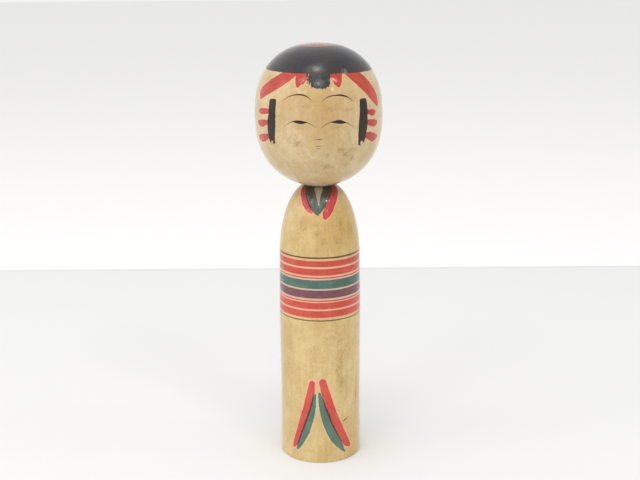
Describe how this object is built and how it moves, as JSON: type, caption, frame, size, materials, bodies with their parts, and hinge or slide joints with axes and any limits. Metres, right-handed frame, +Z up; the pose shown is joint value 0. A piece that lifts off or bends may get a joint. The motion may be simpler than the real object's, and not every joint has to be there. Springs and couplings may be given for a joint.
{
  "type": "kokeshi doll",
  "caption": "Lathe-turned wooden kokeshi doll: a rounded head that turns on a straight round-shouldered torso, painted with hair, face and coloured rings.",
  "frame": {"origin": "centre of the foot, on the surface that the doll stands on", "axes": "+Z up along the turning axis, the face looks along -Y, +X towards the viewer's right when the viewer faces the doll"},
  "size_m": [0.0712, 0.0712, 0.24],
  "materials": {
    "torso_wood": "waxed, satin, mellowed with age",
    "head_wood": "waxed, satin, mellowed with age",
    "bare_wood": "turned and left bare, matt",
    "red_dye": "thin dye in the wood, under wax",
    "green_dye": "thin dye in the wood, under wax",
    "purple_dye": "thin dye in the wood, under wax",
    "black_ink": "brushed ink on the wood, under wax"
  },
  "bodies": {
    "torso": {"torso": "torso_wood"},
    "head": {"head": "head_wood", "neck_peg": "bare_wood"}
  },
  "joints": [
    {"name": "head_turn", "type": "hinge", "parent": "torso", "child": "head", "pos_m": [0, 0, 0.1612], "axis": [0, 0, 1], "continuous": true}
  ]
}
